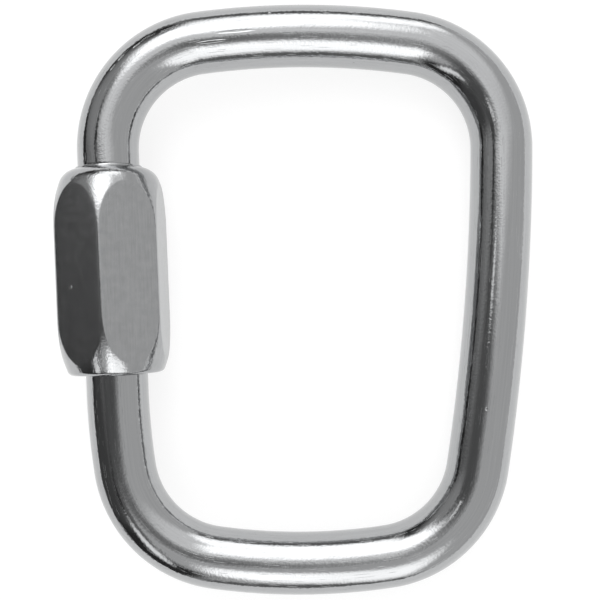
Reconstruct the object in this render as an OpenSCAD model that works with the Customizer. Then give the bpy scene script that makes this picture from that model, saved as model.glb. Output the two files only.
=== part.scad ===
// Trapezoid quick link: a bent round bar, with a long hexagonal nut that closes the gap in one leg.
// The link lies on the floor, on one edge of the nut and on the leg opposite.
// Sizes are in millimetres. Y is the load axis, with the wide end at +Y, and Z is up.

/* [Bar] */
// Diameter of the bar
bar_d = 10; // [9.5:0.1:10.5]
// Inside length along the load axis, from crown to crown
inside_l = 75.8; // [69:0.1:84]
// Radius of the four corner bends, on the bar's axis
corner_r = 17.3; // [14:0.1:18]
// How much the corner bends draw the bar thinner, on the radius
corner_thin = 0.03; // [0.02:0.01:0.1]
// Radius of the wide crown, on the bar's axis
wide_crown_r = 128; // [95:1:180]
// Radius of the narrow crown, on the bar's axis
narrow_crown_r = 98; // [75:1:140]

/* [Plain leg] */
// Distance of its axis from the load axis at mid length
plain_x = 31.8; // [28:0.1:35]
// Lean of the leg towards the narrow end, in degrees
plain_lean = 4.5; // [3:0.1:6]
// Radius of its outward bow, on the bar's axis
plain_bow_r = 358; // [220:1:400]

/* [Threaded leg] */
// Distance of its axis from the load axis at mid length
thread_x = 30.4; // [27:0.1:33]
// Lean of the leg towards the narrow end, in degrees
thread_lean = 2.1; // [1:0.1:3]
// Length of straight bar above the closed nut
above_l = 2.5; // [1:0.1:4]
// Length of straight bar below the closed nut
below_l = 3; // [2:0.1:5]
// Radius of the slow bend that follows it, on the bar's axis
knee_r = 110; // [75:1:130]

/* [Thread] */
// Pitch of the thread
pitch = 1.5; // [1.25:0.05:1.6]
// Pitch diameter of the thread
thread_d = 9; // [8.4:0.1:9.2]
// Turns that open the nut fully
open_turns = 9; // [7:1:9]
// Length of thread that holds the upper arm
upper_hold = 4.5; // [3:0.1:6]
// Length of thread that holds the lower arm while the link is closed
lower_hold = 6.6; // [4:0.1:7]
// Chamfer on the end of each arm
end_chamfer = 0.8; // [0.4:0.1:1.2]
// Depth that the plain bar enters the mouth of the closed nut
neck_h = 0.2; // [0.1:0.05:0.4]
// Clearance between the nut and the bar, on the radius
running_clear = 0.05; // [0.02:0.01:0.1]

/* [Nut] */
// Width across the flats
nut_af = 16.6; // [16.2:0.1:19]
// Turn of the nut about its own axis, in degrees
nut_turn = 27; // [12:1:28]
// Depth that turning takes off the six edges
edge_loss = 0.1; // [0.05:0.05:0.4]
// Diameter of the counterbore that clears the plain bar
counterbore_d = 12.2; // [11.9:0.1:13]
// Radius of the turned flanks towards both ends
flank_r = 23; // [20:0.5:40]
// Length of the turned upper end
upper_flank_l = 10; // [8:0.1:11]
// Length of the turned lower end
lower_flank_l = 9.2; // [7:0.1:10]
// Radius of the round shoulder that ends the upper flank
shoulder_r = 3; // [1.5:0.1:3.5]
// Radius of the round rim that ends the lower flank
rim_r = 1; // [0.5:0.1:2]
// Diameter of the thin lip round the upper mouth
lip_d = 10.9; // [10.7:0.1:11.5]
// Height of the lip
lip_h = 0.3; // [0.2:0.05:0.5]

/* [Hidden] */
$fn = 96;
ARC_STEPS = 10;
STEEL = [0.78, 0.79, 0.80];
bar_r = bar_d / 2;
thread_r = thread_d / 2;
shoulder_w = bar_r - thread_r;

// How far a corner, in degrees, and an arm's foot reach into the bar that they join
CORNER_LAP = 1;
STUB = 0.3;

// A direction in the plane of the link
function unit(a) = [cos(a), sin(a)];

// The bearing of a vector, given as the first one past the start bearing
function bearing(v, start = -180) = start + (((atan2(v[1], v[0]) - start) % 360) + 360) % 360;

// The point at d1 from c1 and d2 from c2, on the left of the way from c1 to c2
function meet(c1, d1, c2, d2) =
    let (way = c2 - c1, d = norm(way), along = (d * d + d1 * d1 - d2 * d2) / (2 * d))
    c1 + way * along / d + [-way[1], way[0]] * sqrt(d1 * d1 - along * along) / d;

// The bar's axis is a ring of arcs that run into each other, with one straight leg for the thread.
// Each corner arc touches both of its neighbours from inside, so only the centres have to be found.
half_l = inside_l / 2 + bar_r;
wide_c = [0, half_l - wide_crown_r];
narrow_c = [0, narrow_crown_r - half_l];
plain_c = [plain_x, 0] - plain_bow_r * unit(-plain_lean);
wide_plain_c = meet(plain_c, plain_bow_r - corner_r, wide_c, wide_crown_r - corner_r);
narrow_plain_c = meet(narrow_c, narrow_crown_r - corner_r, plain_c, plain_bow_r - corner_r);

// The corner above the threaded leg has its centre on a line beside that leg
thread_o = [-thread_x, 0];
thread_up = unit(90 + thread_lean);
thread_in = unit(thread_lean);
beside = thread_o + corner_r * thread_in;
beside_up = (beside - wide_c) * thread_up;
beside_off = (beside - wide_c) * thread_in;
arm_top = sqrt(pow(wide_crown_r - corner_r, 2) - beside_off * beside_off) - beside_up;
wide_thread_c = beside + arm_top * thread_up;

// Stations along the threaded leg, counted upwards from mid length
travel = open_turns * pitch;
nut_l = 2 * travel + lower_hold;
nut_top = arm_top - above_l;
nut_bottom = nut_top - nut_l;
upper_end = nut_top - upper_hold;
lower_end = nut_top - travel;
leg_bottom = nut_bottom - below_l;

// The slow bend below the threaded leg, and the corner that follows it
knee_c = thread_o + leg_bottom * thread_up + knee_r * thread_in;
narrow_thread_c = meet(knee_c, knee_r - corner_r, narrow_c, narrow_crown_r - corner_r);

// Bearings at which one arc ends and the next one starts
plain_start = bearing(narrow_plain_c - plain_c);
plain_end = bearing(wide_plain_c - plain_c);
wide_start = bearing(wide_plain_c - wide_c);
wide_end = bearing(wide_thread_c - wide_c);
leg_bearing = 180 + thread_lean;
knee_end = bearing(narrow_thread_c - knee_c, leg_bearing);
narrow_start = bearing(narrow_thread_c - narrow_c, leg_bearing);
narrow_end = bearing(narrow_plain_c - narrow_c, leg_bearing);

// Radii of the nut
nut_r = nut_af / sqrt(3);
turned_r = nut_r - edge_loss;
counterbore_r = counterbore_d / 2;
bore_r = thread_r + running_clear;
mouth_r = bar_r + running_clear;
mouth_h = neck_h + running_clear;
counterbore_h = travel + running_clear;
dome_l = nut_l - lip_h;

// A turned end as radius and height over the end: a slow arc, and a small one that carries it on
function turned_end(length, edge_r) =
    let (turn = asin((length - edge_r) / (flank_r - edge_r)),
        edge_c = turned_r - flank_r + (flank_r - edge_r) * cos(turn))
    concat(
        [for (i = [0 : ARC_STEPS]) let (a = turn * i / ARC_STEPS)
            [turned_r - flank_r + flank_r * cos(a), length - flank_r * sin(a)]],
        [for (i = [1 : ARC_STEPS]) let (a = turn + (90 - turn) * i / ARC_STEPS)
            [edge_c + edge_r * cos(a), edge_r - edge_r * sin(a)]]);
lower_turned = turned_end(lower_flank_l, rim_r);
upper_turned = turned_end(upper_flank_l, shoulder_r);
nut_outline = concat([[0, 0]], [for (i = [len(lower_turned) - 1 : -1 : 0]) lower_turned[i]],
    [for (p = upper_turned) [p[0], dome_l - p[1]]], [[0, dome_l]]);

// The hole, from below the nut to above it: counterbore, thread and the mouth for the plain bar
nut_hole = [[0, -1], [counterbore_r, -1], [counterbore_r, counterbore_h - counterbore_r + bore_r],
    [bore_r, counterbore_h], [bore_r, nut_l - mouth_h - mouth_r + bore_r],
    [mouth_r, nut_l - mouth_h], [mouth_r, nut_l + 1], [0, nut_l + 1]];

// The link is tilted until the nut's lowest edge and the plain leg both touch the floor
low_corner = 60 + nut_turn;
low_z = nut_r * sin(low_corner) - edge_loss;
low_x = -thread_x - (nut_bottom + lower_flank_l) * sin(thread_lean) + nut_r * cos(low_corner);
plain_far_x = plain_c[0] + plain_bow_r;
rest_span = plain_far_x - low_x;
tilt = atan2(low_z, rest_span) - asin(bar_r / norm([rest_span, low_z]));
lift = plain_far_x * sin(tilt) + bar_r;
left_x = -thread_x - (nut_top - lip_h - upper_flank_l) * sin(thread_lean) - turned_r * cos(nut_turn);
left_z = turned_r * sin(nut_turn);
mid_x = (plain_far_x * cos(tilt) + bar_r + left_x * cos(tilt) + left_z * sin(tilt)) / 2;

// From the plane of the link to where it lies
module place() {
    translate([-mid_x, 0, lift]) rotate([0, tilt, 0]) children();
}

// From the Z axis to the axis of the threaded leg, with the zero at mid length
module on_leg() {
    translate(thread_o) rotate(thread_lean) rotate([-90, 0, 0]) children();
}

// The place and heading after a left turn of the bar, which runs along +Y
module after(r, turn) {
    translate([-r, 0, 0]) rotate(turn) translate([r, 0, 0]) children();
}

// A slow bend to the left, and what follows it
module bend(r, turn) {
    translate([-r, 0, 0]) rotate_extrude(angle = turn) translate([r, 0]) circle(r = bar_r);
    after(r, turn) children();
}

// One of the four tight corners, and what follows it. Its thinner ends reach into both neighbours.
module corner(turn) {
    translate([-corner_r, 0, 0]) rotate(-CORNER_LAP) rotate_extrude(angle = turn + 2 * CORNER_LAP)
        translate([corner_r, 0]) circle(r = bar_r - corner_thin);
    after(corner_r, turn) children();
}

// A straight arm from its foot along +Y: full bar, a cone down to the thread's barrel and a chamfered
// end. A thinner stub below its foot reaches into the bend that carries it.
module arm(neck, end) {
    rotate([-90, 0, 0]) rotate_extrude() polygon([
        [0, -STUB], [bar_r - 2 * corner_thin, -STUB], [bar_r - 2 * corner_thin, 0],
        [bar_r, 0], [bar_r, neck], [thread_r, neck + shoulder_w],
        [thread_r, end - end_chamfer], [thread_r - end_chamfer, end], [0, end]]);
}

// The bar from the lower arm round to the upper arm, each bend carrying the rest on its end
module link_bar() {
    color(STEEL) place() translate(thread_o) rotate(leg_bearing) translate([0, -leg_bottom, 0]) {
        mirror([0, 1, 0]) arm(below_l - shoulder_w, lower_end - leg_bottom);
        bend(knee_r, knee_end - leg_bearing)
            corner(narrow_start - knee_end)
            bend(narrow_crown_r, narrow_end - narrow_start)
            corner(plain_start + 360 - narrow_end)
            bend(plain_bow_r, plain_end - plain_start)
            corner(wide_start - plain_end)
            bend(wide_crown_r, wide_end - wide_start)
            corner(leg_bearing - wide_end)
            arm(above_l + neck_h, arm_top - upper_end);
    }
}

// Hexagonal bar, turned to a domed outline at both ends and bored through
module sleeve_nut() {
    color(STEEL) place() on_leg() translate([0, 0, nut_bottom]) difference() {
        union() {
            intersection() {
                rotate_extrude() polygon(nut_outline);
                rotate(nut_turn) cylinder(h = nut_l, r = nut_r, $fn = 6);
            }
            translate([0, 0, travel]) cylinder(h = nut_l - travel, d = lip_d);
        }
        rotate_extrude() polygon(nut_hole);
    }
}

link_bar();
sleeve_nut();
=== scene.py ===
# %% [markdown]
# # A chain quick link in bright steel
# A quick link is one round bar, bent into a ring that doesn't quite close, and a long hexagonal nut
# that screws across the gap. This lesson loads the link's construction as a fixed frame and works out
# a finer surface for both pieces, with real threads and softened edges. Then it gives each piece its
# finish, and lights the link as a small bright thing is lit in a studio.

# %% Load the frame
import bpy
import numpy as np
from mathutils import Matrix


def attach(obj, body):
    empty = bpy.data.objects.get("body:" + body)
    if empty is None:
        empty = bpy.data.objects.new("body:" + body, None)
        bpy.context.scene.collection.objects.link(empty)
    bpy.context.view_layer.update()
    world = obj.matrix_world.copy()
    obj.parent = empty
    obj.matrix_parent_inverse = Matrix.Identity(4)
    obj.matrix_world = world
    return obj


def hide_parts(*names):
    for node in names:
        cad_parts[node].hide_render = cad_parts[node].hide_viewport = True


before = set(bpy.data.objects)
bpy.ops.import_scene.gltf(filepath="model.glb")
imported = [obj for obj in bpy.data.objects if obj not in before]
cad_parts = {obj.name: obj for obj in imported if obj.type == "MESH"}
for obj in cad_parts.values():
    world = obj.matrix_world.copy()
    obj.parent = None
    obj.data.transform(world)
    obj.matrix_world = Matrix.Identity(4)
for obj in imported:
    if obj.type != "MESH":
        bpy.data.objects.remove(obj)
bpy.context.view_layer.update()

# %% [markdown]
# ## The sizes
# The maker's drawing of the link is in millimetres, and so is this lesson until a mesh is written. The
# values repeat the drawing, because the loaded frame holds the finished meshes and not the sizes behind
# them. Nearly all else is worked out from these.

# %% Sizes of the drawing, in millimetres and degrees
bar_d, inside_l, corner_r = 10, 75.8, 17.3
wide_crown_r, narrow_crown_r = 128, 98
plain_x, plain_lean, plain_bow_r = 31.8, 4.5, 358
thread_x, thread_lean = 30.4, 2.1
above_l, below_l, knee_r = 2.5, 3, 110
pitch, thread_d, open_turns = 1.5, 9, 9
upper_hold, lower_hold = 4.5, 6.6
end_chamfer, neck_h, running_clear = 0.8, 0.2, 0.05
nut_af, nut_turn, edge_loss = 16.6, 27, 0.1
counterbore_d, flank_r, upper_flank_l, lower_flank_l = 12.2, 23, 10, 9.2
shoulder_r, rim_r, lip_d, lip_h = 3, 1, 10.9, 0.3
MM = 0.001
bar_r, thread_r = bar_d / 2, thread_d / 2
print("bar of", bar_d, "mm, inside length", inside_l, "mm, nut", nut_af, "mm across flats")

# %% [markdown]
# ## The bar's axis
# The bar was bent cold over formers, so its axis is a ring of arcs that run into each other without a
# kink. Each corner arc touches its two neighbours from inside, so its centre lies at a known distance
# from both of their centres. A smooth curve drawn through points would also do, but it bulges a little
# between them. Arcs don't, and each has a radius that a maker can read.

# %% Centres and bearings of the arcs
def unit(degrees):
    """The direction at a bearing in the plane of the link."""
    return np.array([np.cos(np.radians(degrees)), np.sin(np.radians(degrees))])


def bearing(vector, start=-180):
    """The bearing of a vector in degrees, as the first one past the start bearing."""
    return start + (np.degrees(np.arctan2(vector[1], vector[0])) - start) % 360


def meet(c1, d1, c2, d2):
    """The point at d1 from c1 and d2 from c2, on the left of the way from c1 to c2."""
    way = c2 - c1
    d = np.hypot(*way)
    along = (d * d + d1 * d1 - d2 * d2) / (2 * d)
    return c1 + way * along / d + np.array([-way[1], way[0]]) * np.sqrt(d1 * d1 - along * along) / d


half_l = inside_l / 2 + bar_r
wide_c = np.array([0, half_l - wide_crown_r])
narrow_c = np.array([0, narrow_crown_r - half_l])
plain_c = np.array([plain_x, 0]) - plain_bow_r * unit(-plain_lean)
wide_plain_c = meet(plain_c, plain_bow_r - corner_r, wide_c, wide_crown_r - corner_r)
narrow_plain_c = meet(narrow_c, narrow_crown_r - corner_r, plain_c, plain_bow_r - corner_r)

thread_o, thread_up, thread_in = np.array([-thread_x, 0]), unit(90 + thread_lean), unit(thread_lean)
beside = thread_o + corner_r * thread_in - wide_c
arm_top = np.sqrt((wide_crown_r - corner_r) ** 2 - (beside @ thread_in) ** 2) - beside @ thread_up
wide_thread_c = wide_c + beside + arm_top * thread_up

travel = open_turns * pitch
nut_l = 2 * travel + lower_hold
nut_top = arm_top - above_l
nut_bottom = nut_top - nut_l
upper_end, lower_end = nut_top - upper_hold, nut_top - travel
leg_bottom = nut_bottom - below_l
knee_c = thread_o + leg_bottom * thread_up + knee_r * thread_in
narrow_thread_c = meet(knee_c, knee_r - corner_r, narrow_c, narrow_crown_r - corner_r)

leg_bearing = 180 + thread_lean
knee_end = bearing(narrow_thread_c - knee_c, leg_bearing)
narrow_start = bearing(narrow_thread_c - narrow_c, knee_end)
narrow_end = bearing(narrow_plain_c - narrow_c, narrow_start)
plain_start = bearing(narrow_plain_c - plain_c, narrow_end)
plain_end = bearing(wide_plain_c - plain_c, plain_start)
wide_start = bearing(wide_plain_c - wide_c, plain_end)
wide_end = bearing(wide_thread_c - wide_c, wide_start)
ARCS = [
    (knee_c, knee_r, leg_bearing, knee_end),
    (narrow_thread_c, corner_r, knee_end, narrow_start),
    (narrow_c, narrow_crown_r, narrow_start, narrow_end),
    (narrow_plain_c, corner_r, narrow_end, plain_start),
    (plain_c, plain_bow_r, plain_start, plain_end),
    (wide_plain_c, corner_r, plain_end, wide_start),
    (wide_c, wide_crown_r, wide_start, wide_end),
    (wide_thread_c, corner_r, wide_end, leg_bearing + 360),
]
print("nut from", round(nut_bottom, 2), "to", round(nut_top, 2), "mm along its leg, travel", travel, "mm")

# %% [markdown]
# ## How the link lies
# The nut is thicker than the bar, so the link lies with one nut edge and the leg opposite on the floor.
# The drawing tilts the link by that angle, and the same turn is worked out here. Turning the finished
# objects would be simpler, but they have to sit unturned at the origin, as the frame's own parts do. So
# the turn goes into the points.

# %% From the plane of the link to the room
nut_r = nut_af / np.sqrt(3)
turned_r = nut_r - edge_loss
low_corner = np.radians(60 + nut_turn)
low_z = nut_r * np.sin(low_corner) - edge_loss
lean_sin = np.sin(np.radians(thread_lean))
low_x = -thread_x - (nut_bottom + lower_flank_l) * lean_sin + nut_r * np.cos(low_corner)
plain_far_x = plain_c[0] + plain_bow_r
rest_span = plain_far_x - low_x
tilt = np.arctan2(low_z, rest_span) - np.arcsin(bar_r / np.hypot(rest_span, low_z))
lift = plain_far_x * np.sin(tilt) + bar_r
turn = np.radians(nut_turn)
left_x = -thread_x - (nut_top - lip_h - upper_flank_l) * lean_sin - turned_r * np.cos(turn)
left_z = turned_r * np.sin(turn)
mid_x = (plain_far_x * np.cos(tilt) + bar_r + left_x * np.cos(tilt) + left_z * np.sin(tilt)) / 2


def in_room(u, v, w):
    """Points of the link's plane (u, v) and height w over it, tilted about Y, lifted, and in metres."""
    x = u * np.cos(tilt) + w * np.sin(tilt) - mid_x
    z = w * np.cos(tilt) - u * np.sin(tilt) + lift
    return np.stack([x, np.broadcast_to(v, x.shape), z], -1) * MM


print("tilt", round(np.degrees(tilt), 3), "degrees, lift", round(lift, 3), "mm")

# %% [markdown]
# ## From a grid to a mesh
# Both pieces are grids: rows run along the piece, and columns run round it and close. Points and faces
# could be added one at a time, but that is slow for so many of them. Blender takes whole arrays too, so
# no loop visits single points. The UV map holds millimetres, along and round the piece, so that a pattern
# can follow the drawn or brushed metal. Edges sharper than an angle stay crisp, and all others are shaded
# smooth.

# %% Mesh from a grid of points
SHARP_ANGLE = 50


def grid_piece(name, points, along, around, ring=False):
    """A closed piece from rows of points. Quad (i, j) has the corners (i, j), (i+1, j), (i+1, j+1) and
    (i, j+1), with the columns closed. A ring closes the rows too, and else each end is one flat face."""
    rows, cols = points.shape[:2]
    i, j = np.meshgrid(np.arange(rows if ring else rows - 1), np.arange(cols), indexing="ij")
    i, j = i.ravel(), j.ravel()
    i2, j2 = (i + 1) % rows, (j + 1) % cols
    faces = np.stack([i * cols + j, i2 * cols + j, i2 * cols + j2, i * cols + j2], -1).tolist()
    row, col = np.stack([i, i + 1, i + 1, i], 1), np.stack([j, j, j + 1, j + 1], 1)
    uv = np.stack([along[row], around[col]], -1).reshape(-1, 2)
    if not ring:
        first, last = np.arange(cols), np.arange(cols)[::-1]
        faces += [first.tolist(), ((rows - 1) * cols + last).tolist()]
        ends = np.repeat([along[0], along[-1]], cols)
        uv = np.concatenate([uv, np.stack([ends, around[np.concatenate([first, last])]], -1)])
    mesh = bpy.data.meshes.new(name)
    mesh.from_pydata(points.reshape(-1, 3), [], faces)
    mesh.uv_layers.new(name="millimetres").uv.foreach_set("vector", uv.astype(np.float32).ravel())
    mesh.polygons.foreach_set("use_smooth", np.ones(len(mesh.polygons), bool))
    mesh.set_sharp_from_angle(angle=np.radians(SHARP_ANGLE))
    piece = bpy.data.objects.new(name, mesh)
    bpy.context.scene.collection.objects.link(piece)
    print(name, rows, "rows by", cols, "columns,", len(mesh.polygons), "faces")
    return piece


print("edges of more than", SHARP_ANGLE, "degrees stay crisp")

# %% [markdown]
# ## The thread
# A thread is one groove wound round a cylinder. Its depth depends on how far a point is from the
# groove, so height and angle come together in one number, the phase. The nut and both arms use the same
# phase, and the nut travels a whole number of turns, so the threads mesh when it is closed and open.
# A screw modifier would also wind a groove, but it wouldn't run out into the plain bar.

# %% Thread as a function of height and angle
# Radii of crest and root on the bar and in the nut, and the play between the two threads
crest_r, root_r = 4.95, 4.1
nut_crest_r, nut_root_r = 4.25, 5.05
thread_play = 0.1
# A flank of a 60 degree thread rises by this much for each step along the axis
FLANK_SLOPE = np.sqrt(3)


def thread(h, angle, low, high, play=0):
    """Radius of a 60 degree thread: rising and falling flanks through the pitch radius, cut off at the
    root and the crest. The phase is h / pitch less the angle in turns, so it climbs right-handed."""
    phase = (h / pitch - angle / (2 * np.pi)) % 1
    offset = 0.25 - np.abs(phase - 0.5)
    return np.clip(thread_r + play + offset * pitch * FLANK_SLOPE, low, high)


print("thread of", pitch, "mm pitch, from", root_r, "to", crest_r, "mm radius on the bar")

# %% [markdown]
# ## The bar
# The bar is one rod, bent to a ring and threaded at both ends. A bevelled curve would give the ring
# but not the threads, so the round section is carried along the arcs with a radius that may change.
# Rows are close together in the tight corners, and closer still on the threads, which the closed nut
# hides and the open one shows.

# %% Rows of the bar
BAR_COLUMNS = 96
CORNER_STEP, SLOW_STEP, THREAD_STEP = 0.35, 0.7, pitch / 20
around = np.linspace(0, 2 * np.pi, BAR_COLUMNS + 1)
angle = around[:-1]


def arm_heights(top, end, neck):
    """Heights of the rows on an arm, from its plain foot past the neck to its threaded end."""
    way = np.sign(end - top)
    foot = np.arange(0, abs(neck - top), SLOW_STEP)
    threaded = np.arange(0, abs(end - neck) - THREAD_STEP / 2, THREAD_STEP)
    return np.concatenate([top + way * foot, neck + way * threaded, [end]])


def arm_radius(h, neck, end):
    """Plain bar up to the neck, then the thread. A 45 degree cone runs from the bar down to the thread's
    root, and another takes the corner off the end."""
    way = np.sign(end - neck)
    past, left = (h - neck) * way, (end - h) * way
    threaded = np.maximum(thread(h, angle, root_r, crest_r), bar_r - past)
    return np.where(past <= 0, bar_r, np.minimum(threaded, thread_r - end_chamfer + left))


# The drawing starts the lower cone half a millimetre below the nut. Here the plain bar runs on to the
# nut's end, because the real link shows no dark gap there, and the counterbore is deeper to suit
lower_neck, upper_neck = nut_bottom, nut_top - neck_h
lower_h = arm_heights(leg_bottom, lower_end, lower_neck)[::-1]
upper_h = arm_heights(arm_top, upper_end, upper_neck)
axis, inward, radius = [], [], []
for h, neck, end in ((lower_h, lower_neck, lower_end), (upper_h, upper_neck, upper_end)):
    axis.append(thread_o + h[:, None] * thread_up)
    inward.append(np.tile(thread_in, (len(h), 1)))
    radius.append(arm_radius(h[:, None], neck, end))
# The arcs go between the two arms, in their order
for order, (centre, arc_r, start, end) in enumerate(ARCS, 1):
    step = CORNER_STEP if arc_r == corner_r else SLOW_STEP
    count = int(np.radians(end - start) * arc_r / step) + 1
    out = unit(np.linspace(start, end, count + 1)[1:-1]).T
    axis.insert(order, centre + arc_r * out)
    inward.insert(order, -out)
    radius.insert(order, np.full((len(out), BAR_COLUMNS), bar_r))
axis, inward, radius = np.concatenate(axis), np.concatenate(inward), np.concatenate(radius)
print("bar of", len(axis), "rows, of which", len(lower_h) + len(upper_h), "are on the two arms")

# %% The bar's mesh
across = radius * np.cos(angle)
bar_points = in_room(axis[:, :1] + across * inward[:, :1], axis[:, 1:] + across * inward[:, 1:],
                     -radius * np.sin(angle))
bar_along = np.concatenate([[0], np.cumsum(np.hypot(*np.diff(axis, axis=0).T))])
crown_along = bar_along[np.argmin(np.hypot(axis[:, 0], axis[:, 1] - half_l))]
link_bar = grid_piece("bent_bar", bar_points, bar_along, around * bar_r)
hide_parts("link_bar")
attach(link_bar, "bar")

# %% [markdown]
# ## The nut
# The nut was cut from hexagonal bar, and its ends were turned to a dome. So at any angle its wall is the
# flat or the dome, whichever is nearer the axis. A Boolean of a prism and a turned body would give the
# same form, with ragged triangles along the edge. Here the rows bend along the line where flat and dome
# meet, which keeps that edge crisp with few faces, and a soft minimum rounds it as tumbling does.

# %% Columns round the nut
SECTOR_COLUMNS = 24
COLUMN_CROWDING = 1.5
HALF_FLAT = 30
half_sector = np.linspace(-1, 1, SECTOR_COLUMNS + 1)[:-1]
in_sector = np.sign(half_sector) * HALF_FLAT * (1 - (1 - np.abs(half_sector)) ** COLUMN_CROWDING)
nut_degrees = nut_turn + HALF_FLAT + (in_sector + 2 * HALF_FLAT * np.arange(6)[:, None]).ravel()
nut_around = np.radians(np.append(nut_degrees, nut_degrees[0] + 360))
nut_angle = nut_around[:-1]
flat_r = nut_af / 2 / np.cos(np.radians(np.tile(in_sector, 6)))
print("nut of", len(nut_angle), "columns, up to", round(flat_r.max(), 2), "mm from its axis")

# %% Outlines of the nut's turned ends
EDGE_BLEND = 0.06
EDGE_STEPS = 16


def flank(length, z):
    """Radius of a turned end at the height z over that end: an arc that is upright at the length."""
    return turned_r - flank_r + np.sqrt(flank_r ** 2 - np.clip(length - z, 0, None) ** 2)


def flank_height(length, r):
    """The height over the end at which the turned arc has the radius r."""
    return length - np.sqrt(np.clip(flank_r ** 2 - (r - turned_r + flank_r) ** 2, 0, None))


def soft_min(a, b):
    """The smaller of two radii, with the edge between them rounded."""
    return (a + b - np.sqrt((a - b) ** 2 + EDGE_BLEND ** 2)) / 2


def end_edge(length, edge_r):
    """The small arc that carries a turned end on from its slow arc, as radii and heights over the end. It
    touches the slow arc from inside, so both centres and the touching point are on one line."""
    turn = np.arcsin((length - edge_r) / (flank_r - edge_r))
    a = np.linspace(turn, np.pi / 2, EDGE_STEPS)
    centre = turned_r - flank_r + (flank_r - edge_r) * np.cos(turn)
    return np.stack([centre + edge_r * np.cos(a), edge_r - edge_r * np.sin(a)], -1)


lower_edge, upper_edge = end_edge(lower_flank_l, rim_r), end_edge(upper_flank_l, shoulder_r)
dome_l = nut_l - lip_h
low_end, high_end = lower_edge[0, 1], dome_l - upper_edge[0, 1]
print("small arcs start at", round(low_end, 2), "and", round(high_end, 2), "mm over the nut's foot")

# %% Rows of the nut's outer wall
# Rows crowd on both sides of the edge between flat and dome, closer where the dome leaves less room
NEAR_EDGE = np.array([-0.6, -0.3, -0.15, -0.07, 0, 0.07, 0.15, 0.3, 0.6])
NEAR_ROOM, LEAST_ROOM = 0.7, 0.3
FLAT_ROWS, DOME_ROWS = 6, 8
wall_r = np.minimum(flat_r, turned_r)
edge_low = np.maximum(flank_height(lower_flank_l, wall_r), low_end + LEAST_ROOM)
edge_high = dome_l - np.maximum(flank_height(upper_flank_l, wall_r), dome_l - high_end + LEAST_ROOM)


def rows_between(start, end, count):
    """Evenly spaced heights for each column, without the two ends."""
    return start + (end - start) * np.linspace(0, 1, count + 2)[1:-1, None]


low_start, high_stop = np.full_like(edge_low, low_end), np.full_like(edge_low, high_end)
low_room = np.minimum((edge_low - low_start) / NEAR_ROOM, 1)
high_room = np.minimum((high_stop - edge_high) / NEAR_ROOM, 1)
low_near = edge_low + np.where(NEAR_EDGE[:, None] < 0, low_room, 1) * NEAR_EDGE[:, None]
high_near = edge_high + np.where(NEAR_EDGE[:, None] > 0, high_room, 1) * NEAR_EDGE[:, None]
wall_z = np.concatenate([
    low_start[None], rows_between(low_start, low_near[0], DOME_ROWS), low_near,
    rows_between(low_near[-1], high_near[0], FLAT_ROWS), high_near,
    rows_between(high_near[-1], high_stop, DOME_ROWS), high_stop[None]])
dome_r = np.minimum(flank(lower_flank_l, wall_z), flank(upper_flank_l, dome_l - wall_z))
outer_r = soft_min(flat_r, dome_r)
print("outer wall of", len(wall_z), "rows")

# %% [markdown]
# ## The nut's ends and bore
# The ends follow the drawing: small arcs carry the turned flanks round to the end faces. Inside, a
# counterbore clears the plain bar while the nut is open, and the thread fills the rest. All of it is
# one outline, down through the bore and up the outer wall, so the nut is a single grid that closes.

# %% Ends and bore
# Small steps and broken edges, where a file or the tumbling barrel has been
SHOULDER_STOP, LIP_FOOT, LIP_EDGE, LIP_BREAK, FOOT_BREAK = 0.05, 0.03, 0.1, 0.08, 0.15
counterbore_r = counterbore_d / 2
mouth_r, mouth_h = bar_r + running_clear, neck_h + running_clear
counterbore_h = travel + running_clear + bar_r - thread_r
rim_rows = lower_edge[:0:-1]
lip_r = lip_d / 2
shoulder = upper_edge[upper_edge[:, 0] > lip_r + SHOULDER_STOP][1:] * (1, -1) + (0, dome_l)
LIP = np.array([
    [lip_r, shoulder[-1, 1] + LIP_FOOT], [lip_r, nut_l - LIP_EDGE], [lip_r - LIP_BREAK, nut_l],
    [mouth_r + LIP_BREAK, nut_l], [mouth_r, nut_l - LIP_BREAK]])
END_PROFILE = np.concatenate([shoulder, LIP])
FOOT_PROFILE = np.array([[counterbore_r, FOOT_BREAK], [counterbore_r + FOOT_BREAK, 0]])
bore_z = np.arange(nut_l - mouth_h, counterbore_h - counterbore_r + nut_crest_r, -THREAD_STEP)[:, None]
mouth_cone = mouth_r - (nut_l - mouth_h - bore_z)
foot_cone = thread_r + running_clear + counterbore_h - bore_z
nut_thread = thread(nut_bottom + bore_z, nut_angle, nut_crest_r, nut_root_r, thread_play)
bore_r = np.minimum(np.maximum(np.maximum(nut_thread, mouth_cone), foot_cone), counterbore_r)
print("bore of", len(bore_z), "rows, counterbore", round(counterbore_h, 2), "mm deep")

# %% The nut's mesh
# Over this difference between the radii of flat and dome, the finish changes from one to the other
TURNED_FADE = 0.05
# Step of the UV map over the flat foot, where the last row meets the first
FOOT_STEP = 1


def round_rows(profile):
    """Rows of one radius and height each, given as points of a turned outline."""
    return [np.repeat(profile[:, k:k + 1], len(nut_angle), 1) for k in (0, 1)]


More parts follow.
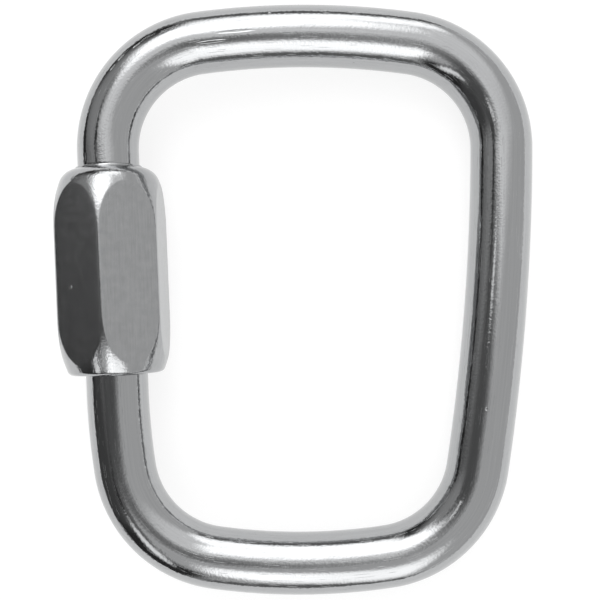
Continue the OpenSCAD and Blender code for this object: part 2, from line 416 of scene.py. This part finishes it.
rim_r_rows, rim_z_rows = round_rows(rim_rows)
end_r, end_z = round_rows(END_PROFILE)
foot_r, foot_z = round_rows(FOOT_PROFILE)
bore_rows = np.broadcast_to(bore_z, bore_r.shape)
nut_radius = np.concatenate([rim_r_rows, outer_r, end_r, bore_r, foot_r])[::-1]
nut_height = np.concatenate([rim_z_rows, wall_z, end_z, bore_rows, foot_z])[::-1]
nut_axis_u = thread_o[0] + (nut_bottom + nut_height) * thread_up[0]
nut_axis_v = thread_o[1] + (nut_bottom + nut_height) * thread_up[1]
nut_across = nut_radius * np.cos(nut_angle)
nut_points = in_room(nut_axis_u + nut_across * thread_in[0], nut_axis_v + nut_across * thread_in[1],
                     -nut_radius * np.sin(nut_angle))
row_step = np.hypot(np.diff(nut_radius, axis=0), np.diff(nut_height, axis=0)).mean(1)
nut_along = np.concatenate([[0], np.cumsum(row_step), [row_step.sum() + FOOT_STEP]])
sleeve_nut = grid_piece("hex_nut", nut_points, nut_along, nut_around * nut_r, ring=True)
wall_turned = np.clip((flat_r - dome_r) / TURNED_FADE + 0.5, 0, 1)
off_flat = np.concatenate([np.ones_like(rim_r_rows), wall_turned, np.ones_like(end_r),
                           np.ones_like(bore_r), np.ones_like(foot_r)])[::-1]
turned = sleeve_nut.data.attributes.new("turned", "FLOAT", "POINT")
turned.data.foreach_set("value", off_flat.astype(np.float32).ravel())
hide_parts("sleeve_nut")
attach(sleeve_nut, "nut")

# %% [markdown]
# ## Colours and nodes
# Colours are written as on a colour card, in sRGB hex. Blender wants linear numbers, which are hard to
# read as a colour, so one function turns them. One more function adds a node with its settings and
# links, so that a finish reads as a list of its nodes.

# %% Helpers for materials
def linear(hex_colour):
    """An sRGB hex colour as linear RGBA: c / 12.92 near black, else ((c + 0.055) / 1.055) ** 2.4."""
    c = np.array([int(hex_colour[k:k + 2], 16) for k in (1, 3, 5)]) / 255
    c = np.where(c <= 0.04045, c / 12.92, ((c + 0.055) / 1.055) ** 2.4)
    return (*c.tolist(), 1)


def add(tree, kind, inputs=None, **settings):
    """Adds a node. Settings are its properties, and each input is a value or a socket to link from."""
    node = tree.nodes.new(kind)
    for name, value in settings.items():
        setattr(node, name, value)
    for name, value in (inputs or {}).items():
        if isinstance(value, bpy.types.NodeSocket):
            tree.links.new(value, node.inputs[name])
        else:
            node.inputs[name].default_value = value
    return node


def new_tree(material):
    """The emptied node tree of a material, and its output node."""
    material.use_nodes = True
    tree = material.node_tree
    tree.nodes.clear()
    return tree, tree.nodes.new("ShaderNodeOutputMaterial")


print("a grey of #808080 is", round(linear("#808080")[0], 3), "in linear light")

# %% [markdown]
# ## The bar's finish
# The bar is stainless steel, drawn through a die, bent and then tumbled bright. The eye sees a mirror
# that is slightly pebbled: clear bands of the room, whose edges break up into fine grain. Faint die lines
# run along the bar, hair scratches cross it, and the bending tool has left a few short dents. A rougher
# metal would only blur the bands, so the metal itself is smooth, and small bumps carry all of these.
# Real pebbles and die lines are a few hundredths of a millimetre wide and wouldn't show in the picture,
# where a pixel is 0.16 mm wide. They are drawn about ten times as coarse as they are.

# %% Patterns on the bar
# Widths and depths of the patterns in millimetres, and the width of a line over its length
PEBBLE_MM, RIPPLE_MM, DIE_LINE_MM, SCRATCH_MM = 0.4, 3.5, 0.3, 0.12
PEBBLE_DEPTH, RIPPLE_DEPTH, DIE_LINE_DEPTH, SCRATCH_DEPTH, DENT_DEPTH = 0.012, 0.02, 0.004, 0.006, 0.03
DIE_LINE_RATIO, SCRATCH_RATIO, SCRATCH_TURN = 0.02, 0.03, 1.1
# Only noise above the first value makes a scratch, which is full at the second
SCRATCH_FROM, SCRATCH_FULL = 0.72, 0.78

bar_steel = bpy.data.materials.new("tumbled_drawn_steel")
tree, out = new_tree(bar_steel)
place = add(tree, "ShaderNodeTexCoord")
solid = add(tree, "ShaderNodeVectorMath", {0: place.outputs["Object"], "Scale": 1 / MM}, operation="SCALE")
surface = add(tree, "ShaderNodeUVMap", uv_map="millimetres")
pebbles = add(tree, "ShaderNodeTexNoise", {
    "Vector": solid.outputs["Vector"], "Scale": 1 / PEBBLE_MM, "Detail": 1})
ripples = add(tree, "ShaderNodeTexNoise", {
    "Vector": solid.outputs["Vector"], "Scale": 1 / RIPPLE_MM, "Detail": 1})
lengthwise = add(tree, "ShaderNodeMapping", {
    "Vector": surface.outputs["UV"], "Scale": (DIE_LINE_RATIO / DIE_LINE_MM, 1 / DIE_LINE_MM, 1)})
die_lines = add(tree, "ShaderNodeTexNoise", {
    "Vector": lengthwise.outputs["Vector"], "Scale": 1, "Detail": 1})
crosswise = add(tree, "ShaderNodeMapping", {
    "Vector": surface.outputs["UV"], "Rotation": (0, 0, SCRATCH_TURN),
    "Scale": (SCRATCH_RATIO / SCRATCH_MM, 1 / SCRATCH_MM, 1)})
hairs = add(tree, "ShaderNodeTexNoise", {"Vector": crosswise.outputs["Vector"], "Scale": 1, "Detail": 0})
scratches = add(tree, "ShaderNodeMapRange", {
    "Value": hairs.outputs["Fac"], "From Min": SCRATCH_FROM, "From Max": SCRATCH_FULL,
    "To Min": 0, "To Max": -1})
relief = [
    (ripples.outputs["Fac"], RIPPLE_DEPTH), (die_lines.outputs["Fac"], DIE_LINE_DEPTH),
    (pebbles.outputs["Fac"], PEBBLE_DEPTH), (scratches.outputs["Result"], SCRATCH_DEPTH)]
print("patterns on the bar:", len(relief))

# %% Dents in the bar
# The top of the bar is three quarters of the way round, and a dent's floor is this share of its oval
TOP = 0.75 * 2 * np.pi * bar_r
DENT_FLOOR = 0.4
# Two long dents of the bending tool, three scratches and four nicks: the way along the bar past its wide
# crown, the way round from its top, the turn in radians, the length and the width. Ways, lengths and
# widths are in millimetres
DENTS = (
    (10.3, 0, 0.05, 7.5, 0.55), (14.4, 1.25, 0.05, 7, 0.55),
    (25.5, -2.6, 0.9, 1.6, 0.24), (28.2, -2.9, 0.9, 1.6, 0.24), (30, -2.9, 1, 1.4, 0.24),
    (4.8, -2.9, 0, 0.6, 0.5), (-8.9, 5.5, 0, 0.6, 0.6), (-85, 0.7, 0, 0.6, 0.5), (-92, -6.5, 0, 0.8, 0.6))
for past_crown, off_top, dent_turn, length, width in DENTS:
    at = add(tree, "ShaderNodeVectorMath", {
        0: surface.outputs["UV"], 1: (crown_along + past_crown, TOP + off_top, 0)}, operation="SUBTRACT")
    at = add(tree, "ShaderNodeMapping", {
        "Vector": at.outputs["Vector"], "Rotation": (0, 0, dent_turn), "Scale": (2 / length, 2 / width, 1)})
    far = add(tree, "ShaderNodeVectorMath", {0: at.outputs["Vector"]}, operation="LENGTH")
    dent = add(tree, "ShaderNodeMapRange", {
        "Value": far.outputs["Value"], "From Min": DENT_FLOOR, "From Max": 1, "To Min": -1, "To Max": 0},
        interpolation_type="SMOOTHSTEP")
    relief.append((dent.outputs["Result"], DENT_DEPTH))
print("dents:", len(DENTS))

# %% Bar steel
# Nearly all noise lies between these two values
NOISE_LOW, NOISE_HIGH = 0.3, 0.7
BAR_ROUGHNESS = (0.06, 0.12)
normal = None
for height, depth in relief:
    bump = add(tree, "ShaderNodeBump", {"Height": height, "Strength": 1, "Distance": depth * MM})
    if normal:
        tree.links.new(normal, bump.inputs["Normal"])
    normal = bump.outputs["Normal"]
gloss = add(tree, "ShaderNodeMapRange", {
    "Value": pebbles.outputs["Fac"], "From Min": NOISE_LOW, "From Max": NOISE_HIGH,
    "To Min": BAR_ROUGHNESS[0], "To Max": BAR_ROUGHNESS[1]})
streaks = add(tree, "ShaderNodeMapRange", {
    "Value": die_lines.outputs["Fac"], "From Min": NOISE_LOW, "From Max": NOISE_HIGH})
shade = add(tree, "ShaderNodeMix", {
    "Factor": streaks.outputs["Result"], "A": linear("#AAABAC"), "B": linear("#AFB0B1")}, data_type="RGBA")
steel = add(tree, "ShaderNodeBsdfPrincipled", {
    "Base Color": shade.outputs["Result"], "Metallic": 1, "Roughness": gloss.outputs["Result"],
    "Normal": normal})
tree.links.new(steel.outputs["BSDF"], out.inputs["Surface"])
link_bar.data.materials.append(bar_steel)
print(bar_steel.name, "with pebbles of", PEBBLE_MM, "mm and", len(relief), "layers of relief")

# %% [markdown]
# ## The nut's finish
# The nut's flats were drawn and then rubbed along the nut, which leaves fine straight lines, faint clouds
# and a satin look. Its ends were turned and tumbled, so they are as bright and pebbled as the bar, with
# faint rings. Two materials would meet in a hard line, so an attribute of the mesh says where the
# turned surface is, and one finish changes there. The lines are drawn coarser than they are, to show.

# %% A nick on the dark flat
# Its height over the nut's foot and its angle round the axis, and the angle of the middle of that flat
NICK_HEIGHT, NICK_ANGLE = 14.2, np.radians(227)
NICK_FLAT = np.radians(nut_turn + 7 * HALF_FLAT)
nick_r = nut_af / 2 / np.cos(NICK_ANGLE - NICK_FLAT)
nick_axis = thread_o + (nut_bottom + NICK_HEIGHT) * thread_up
nick_u, nick_v = nick_axis + nick_r * np.cos(NICK_ANGLE) * thread_in
nick_at = in_room(nick_u, nick_v, -nick_r * np.sin(NICK_ANGLE))
print("nick at", nick_at.round(4).tolist(), "m")

# %% Patterns on the nut
# Widths and depths of the patterns in millimetres, and the width of a line over its length
BRUSH_MM, RING_MM, CLOUD_MM = 0.2, 0.3, 1.2
LINE_DEPTH, NUT_PEBBLE_DEPTH, NICK_DEPTH = 0.006, 0.024, 0.045
NICK_FLOOR, NICK_RIM = 0.1, 0.45
BRUSH_RATIO, RING_RATIO = 0.04, 0.1
# How much of the pebbles is left on the rubbed flats
FLAT_PEBBLES = 0.03

nut_steel = bpy.data.materials.new("brushed_hexagon_steel")
tree, out = new_tree(nut_steel)
place = add(tree, "ShaderNodeTexCoord")
solid = add(tree, "ShaderNodeVectorMath", {0: place.outputs["Object"], "Scale": 1 / MM}, operation="SCALE")
surface = add(tree, "ShaderNodeUVMap", uv_map="millimetres")
on_turned = add(tree, "ShaderNodeAttribute", attribute_name="turned").outputs["Fac"]
lengthwise = add(tree, "ShaderNodeMapping", {
    "Vector": surface.outputs["UV"], "Scale": (BRUSH_RATIO / BRUSH_MM, 1 / BRUSH_MM, 1)})
brush = add(tree, "ShaderNodeTexNoise", {"Vector": lengthwise.outputs["Vector"], "Scale": 1, "Detail": 2})
roundwise = add(tree, "ShaderNodeMapping", {
    "Vector": surface.outputs["UV"], "Scale": (1 / RING_MM, RING_RATIO / RING_MM, 1)})
rings = add(tree, "ShaderNodeTexNoise", {"Vector": roundwise.outputs["Vector"], "Scale": 1, "Detail": 2})
pebbles = add(tree, "ShaderNodeTexNoise", {
    "Vector": solid.outputs["Vector"], "Scale": 1 / PEBBLE_MM, "Detail": 1})
clouds = add(tree, "ShaderNodeTexNoise", {
    "Vector": solid.outputs["Vector"], "Scale": 1 / CLOUD_MM, "Detail": 3})
lines = add(tree, "ShaderNodeMix", {
    "Factor": on_turned, "A": brush.outputs["Fac"], "B": rings.outputs["Fac"]}, data_type="FLOAT")
lined = add(tree, "ShaderNodeBump", {
    "Height": lines.outputs["Result"], "Strength": 1, "Distance": LINE_DEPTH * MM})
depth = add(tree, "ShaderNodeMapRange", {"Value": on_turned, "To Min": FLAT_PEBBLES, "To Max": 1})
pebbled = add(tree, "ShaderNodeBump", {
    "Height": pebbles.outputs["Fac"], "Strength": depth.outputs["Result"],
    "Distance": NUT_PEBBLE_DEPTH * MM, "Normal": lined.outputs["Normal"]})
from_nick = add(tree, "ShaderNodeVectorMath", {
    0: place.outputs["Object"], 1: nick_at.tolist()}, operation="DISTANCE")
nick = add(tree, "ShaderNodeMapRange", {
    "Value": from_nick.outputs["Value"], "From Min": NICK_FLOOR * MM, "From Max": NICK_RIM * MM,
    "To Min": -1, "To Max": 0}, interpolation_type="SMOOTHSTEP")
nicked = add(tree, "ShaderNodeBump", {
    "Height": nick.outputs["Result"], "Strength": 1, "Distance": NICK_DEPTH * MM,
    "Normal": pebbled.outputs["Normal"]})
print("lines of", BRUSH_MM, "mm, rings of", RING_MM, "mm and clouds of", CLOUD_MM, "mm on the nut")

# %% Nut steel
# The rubbed look of the flats is part brushed lines and part clouds, and together they vary less
FLAT_ROUGHNESS, END_ROUGHNESS = (0.22, 0.27), 0.12
CLOUD_SHARE = 0.45
RUBBED_LOW, RUBBED_HIGH = 0.35, 0.65
satin = add(tree, "ShaderNodeMapRange", {
    "Value": clouds.outputs["Fac"], "From Min": NOISE_LOW, "From Max": NOISE_HIGH,
    "To Min": FLAT_ROUGHNESS[0], "To Max": FLAT_ROUGHNESS[1]})
gloss = add(tree, "ShaderNodeMix", {
    "Factor": on_turned, "A": satin.outputs["Result"], "B": END_ROUGHNESS}, data_type="FLOAT")
rubbed = add(tree, "ShaderNodeMix", {
    "Factor": CLOUD_SHARE, "A": brush.outputs["Fac"], "B": clouds.outputs["Fac"]}, data_type="FLOAT")
streaks = add(tree, "ShaderNodeMapRange", {
    "Value": rubbed.outputs["Result"], "From Min": RUBBED_LOW, "From Max": RUBBED_HIGH})
shade = add(tree, "ShaderNodeMix", {
    "Factor": streaks.outputs["Result"], "A": linear("#A4A5A6"), "B": linear("#AEAFB0")}, data_type="RGBA")
steel = add(tree, "ShaderNodeBsdfPrincipled", {
    "Base Color": shade.outputs["Result"], "Metallic": 1, "Roughness": gloss.outputs["Result"],
    "Normal": nicked.outputs["Normal"]})
tree.links.new(steel.outputs["BSDF"], out.inputs["Surface"])
sleeve_nut.data.materials.append(nut_steel)
print(nut_steel.name, "with satin flats and bright turned ends")

# %% [markdown]
# ## The floor
# The link lies on white paper. More lamps would make the paper white, but would burn out the steel too.
# So the paper is grey and takes the link's shadow, and a little light of its own makes it white to the
# camera and in the steel, without throwing more light on the link.

# %% Floor
# Half the side of the paper in metres, and its own light
FLOOR_R = 6
PAPER_LIGHT = 0.77


def stage_mesh(name, points, faces):
    """A mesh of the studio, which isn't part of the link."""
    mesh = bpy.data.meshes.new(name)
    mesh.from_pydata(points, [], faces)
    thing = bpy.data.objects.new(name, mesh)
    bpy.context.scene.collection.objects.link(thing)
    return thing


corners = [(-FLOOR_R, -FLOOR_R, 0), (FLOOR_R, -FLOOR_R, 0), (FLOOR_R, FLOOR_R, 0), (-FLOOR_R, FLOOR_R, 0)]
floor = stage_mesh("floor", corners, [(0, 1, 2, 3)])
white_paper = bpy.data.materials.new("white_paper")
tree, out = new_tree(white_paper)
path = add(tree, "ShaderNodeLightPath")
seen = add(tree, "ShaderNodeMath", {0: path.outputs["Is Camera Ray"], 1: path.outputs["Is Glossy Ray"]},
           operation="ADD")
seen = add(tree, "ShaderNodeMath", {0: seen.outputs["Value"], 1: path.outputs["Is Transmission Ray"]},
           operation="ADD", use_clamp=True)
glow = add(tree, "ShaderNodeMath", {0: seen.outputs["Value"], 1: PAPER_LIGHT}, operation="MULTIPLY")
paper = add(tree, "ShaderNodeBsdfDiffuse", {"Color": linear("#969696")})
light = add(tree, "ShaderNodeEmission", {"Strength": glow.outputs["Value"]})
both = add(tree, "ShaderNodeAddShader", {0: paper.outputs["BSDF"], 1: light.outputs["Emission"]})
tree.links.new(both.outputs["Shader"], out.inputs["Surface"])
floor.data.materials.append(white_paper)
print(white_paper.name, "of", 2 * FLOOR_R, "m, with a light of", PAPER_LIGHT)

# %% [markdown]
# ## The light
# Bright steel shows what stands round it, so the light is a small room. A picture of a real room would
# light it too, but no lamp in it could be moved. So the room is built here. The world is its plain grey
# walls, which light the paper evenly.

# %% World
ROOM_LEVEL = 0.7
world = bpy.data.worlds.new("studio")
bpy.context.scene.world = world
world.use_nodes = True
walls = world.node_tree.nodes["Background"]
walls.inputs["Color"].default_value = (1, 1, 1, 1)
walls.inputs["Strength"].default_value = ROOM_LEVEL
print(world.name, "at a level of", ROOM_LEVEL)

# %% [markdown]
# ## The panels
# Soft white panels and lamps stand at the head and the foot of the link, dark things stand on its left,
# and the dark front of the camera hangs over it. They draw the bands in the steel. Area lamps would
# light the link, but they can't be darker than the walls, so each panel is a piece of a sphere with
# a soft edge. The camera doesn't see them, and near ones cover those behind.

# %% How a panel is made
PANEL_STEPS = 24


def panel(name, far, right, up, wide, tall, level, edge):
    """A soft-edged panel, seen from the link at so many degrees right of and up from overhead. It is part
    of a sphere: the direction is overhead turned by hypot(a, b) degrees towards (a, b). Its light fades to
    nothing over the outer share of its oval that edge gives. Dark panels only show in the steel."""
    s = np.linspace(-1, 1, PANEL_STEPS + 1)
    a, b = np.meshgrid(right + s * wide / 2, up + s * tall / 2, indexing="ij")
    off = np.hypot(a, b)
    across = np.sin(np.radians(off)) / np.maximum(off, 1e-9)
    points = np.stack([a * across, b * across, np.cos(np.radians(off))], -1) * far
    n = PANEL_STEPS + 1
    i, j = (k.ravel() for k in np.meshgrid(np.arange(n - 1), np.arange(n - 1), indexing="ij"))
    faces = np.stack([i * n + j, i * n + j + 1, (i + 1) * n + j + 1, (i + 1) * n + j], -1)
    thing = stage_mesh(name, points.reshape(-1, 3), faces.tolist())
    uv = np.stack([s[np.stack([i, i, i + 1, i + 1], 1)], s[np.stack([j, j + 1, j + 1, j], 1)]], -1)
    thing.data.uv_layers.new(name="panel").uv.foreach_set("vector", uv.astype(np.float32).ravel())
    thing.visible_camera = False
    if level < ROOM_LEVEL:
        thing.visible_diffuse = thing.visible_shadow = False
    cloth = bpy.data.materials.new(name)
    cloth.cycles.emission_sampling = "NONE"
    tree, out = new_tree(cloth)
    place = add(tree, "ShaderNodeUVMap", uv_map="panel")
    middle = add(tree, "ShaderNodeVectorMath", {0: place.outputs["UV"], 1: place.outputs["UV"]},
                 operation="DOT_PRODUCT")
    fade = add(tree, "ShaderNodeMapRange", {
        "Value": middle.outputs["Value"], "From Min": 1 - edge, "From Max": 1},
        interpolation_type="SMOOTHSTEP")
    clear = add(tree, "ShaderNodeBsdfTransparent")
    light = add(tree, "ShaderNodeEmission", {"Strength": level})
    both = add(tree, "ShaderNodeMixShader", {
        0: fade.outputs["Result"], 1: light.outputs["Emission"], 2: clear.outputs["BSDF"]})
    tree.links.new(both.outputs["Shader"], out.inputs["Surface"])
    thing.data.materials.append(cloth)
    print(name, "at", right, up, "degrees, level", level)


# %% Panels
# Name, distance in metres, degrees right of and up from overhead, degrees wide and tall, level, and the
# share of the edge that fades
PANELS = (
    ("skirting_head", 2.6, 5, 84, 70, 24, 0.2, 0.6),
    ("skirting_foot", 2.6, 5, -84, 70, 24, 0.2, 0.6),
    ("dark_side", 2.55, -65, 5, 100, 240, 0.2, 0.2),
    ("dark_edge", 2.5, -82, 0, 20, 190, 0.03, 0.6),
    ("dark_head_corner", 2.48, -48, 64, 78, 60, 0.05, 0.7),
    ("dark_foot_corner", 2.46, -50, -62, 88, 58, 0.04, 0.6),
    ("dark_low_side", 2.44, -62, -22, 60, 60, 0.09, 0.8),
    ("grey_screen", 2.4, -36, 29, 92, 80, 0.43, 0.98),
    ("lamp_left", 2.35, -30, 44, 20, 21, 1, 0.98),
    ("screen_frame", 2.25, -33, -6, 13, 74, 0.05, 0.8),
    ("head_wing", 2.2, -2, 16, 60, 40, 1.2, 0.95),
    ("head_sheet", 2.15, 22, 38, 56, 70, 1.15, 0.9),
    ("sheet_left", 2.1, -31, -44, 16, 44, 1.5, 0.98),
    ("head_panel", 2.0, -7, 40, 52, 52, 3.2, 0.98),
    ("head_lamp", 1.9, 8, 64, 60, 32, 2.6, 0.95),
    ("foot_panel", 1.8, 1, -46, 26, 52, 2.6, 0.98),
    ("foot_lamp", 1.7, 16, -53, 39, 62, 2.2, 0.98),
    ("camera_front", 0.3, -20, -5, 70, 42, 0.14, 0.98),
    ("camera_lamp", 0.29, -13.5, 5, 12, 8, 1.3, 0.9),
)
for row in PANELS:
    panel(*row)
print("panels:", len(PANELS))

# %% [markdown]
# ## The camera
# The photograph looks square on the plane of the link from close by, a little below its middle. A camera
# could be moved by hand until the view fits. Here its place is measured over the plane of the link, and
# its lens follows from the size of the picture there, so each number says something about the view.

# %% Camera
# Width of the picture, its scale at the link, the camera's distance in millimetres and its sensor
IMAGE_W = 600
PIXELS_PER_MM = 6.14
CAMERA_FAR = 180
SENSOR_MM = 36
NEAR_CLIP = 0.01
# The point that it looks at, the point under it and its roll in degrees
aim_u, aim_v, foot_u, foot_v, roll = -0.12, -0.23, 0, -3, 0.37

camera_data = bpy.data.cameras.new("camera")
camera = bpy.data.objects.new("camera", camera_data)
bpy.context.scene.collection.objects.link(camera)
eye = in_room(np.array(foot_u), foot_v, CAMERA_FAR)
aim = in_room(np.array(aim_u), aim_v, 0)
back = (eye - aim) / np.linalg.norm(eye - aim)
link_u = np.array([np.cos(tilt), 0, -np.sin(tilt)])
right = link_u - (link_u @ back) * back
right = right / np.linalg.norm(right)
up = np.cross(back, right)
tip = np.radians(roll)
right, up = right * np.cos(tip) - up * np.sin(tip), up * np.cos(tip) + right * np.sin(tip)
pose = np.eye(4)
pose[:3, 0], pose[:3, 1], pose[:3, 2], pose[:3, 3] = right, up, back, eye
camera.matrix_world = pose.T.tolist()
camera_data.sensor_width = SENSOR_MM
camera_data.lens = SENSOR_MM * np.linalg.norm(eye - aim) / MM * PIXELS_PER_MM / IMAGE_W
camera_data.clip_start = NEAR_CLIP
bpy.context.scene.camera = camera
bpy.context.scene.view_settings.view_transform = "Standard"
print("camera at", eye.round(3).tolist(), "m, lens", round(camera_data.lens, 1), "mm")
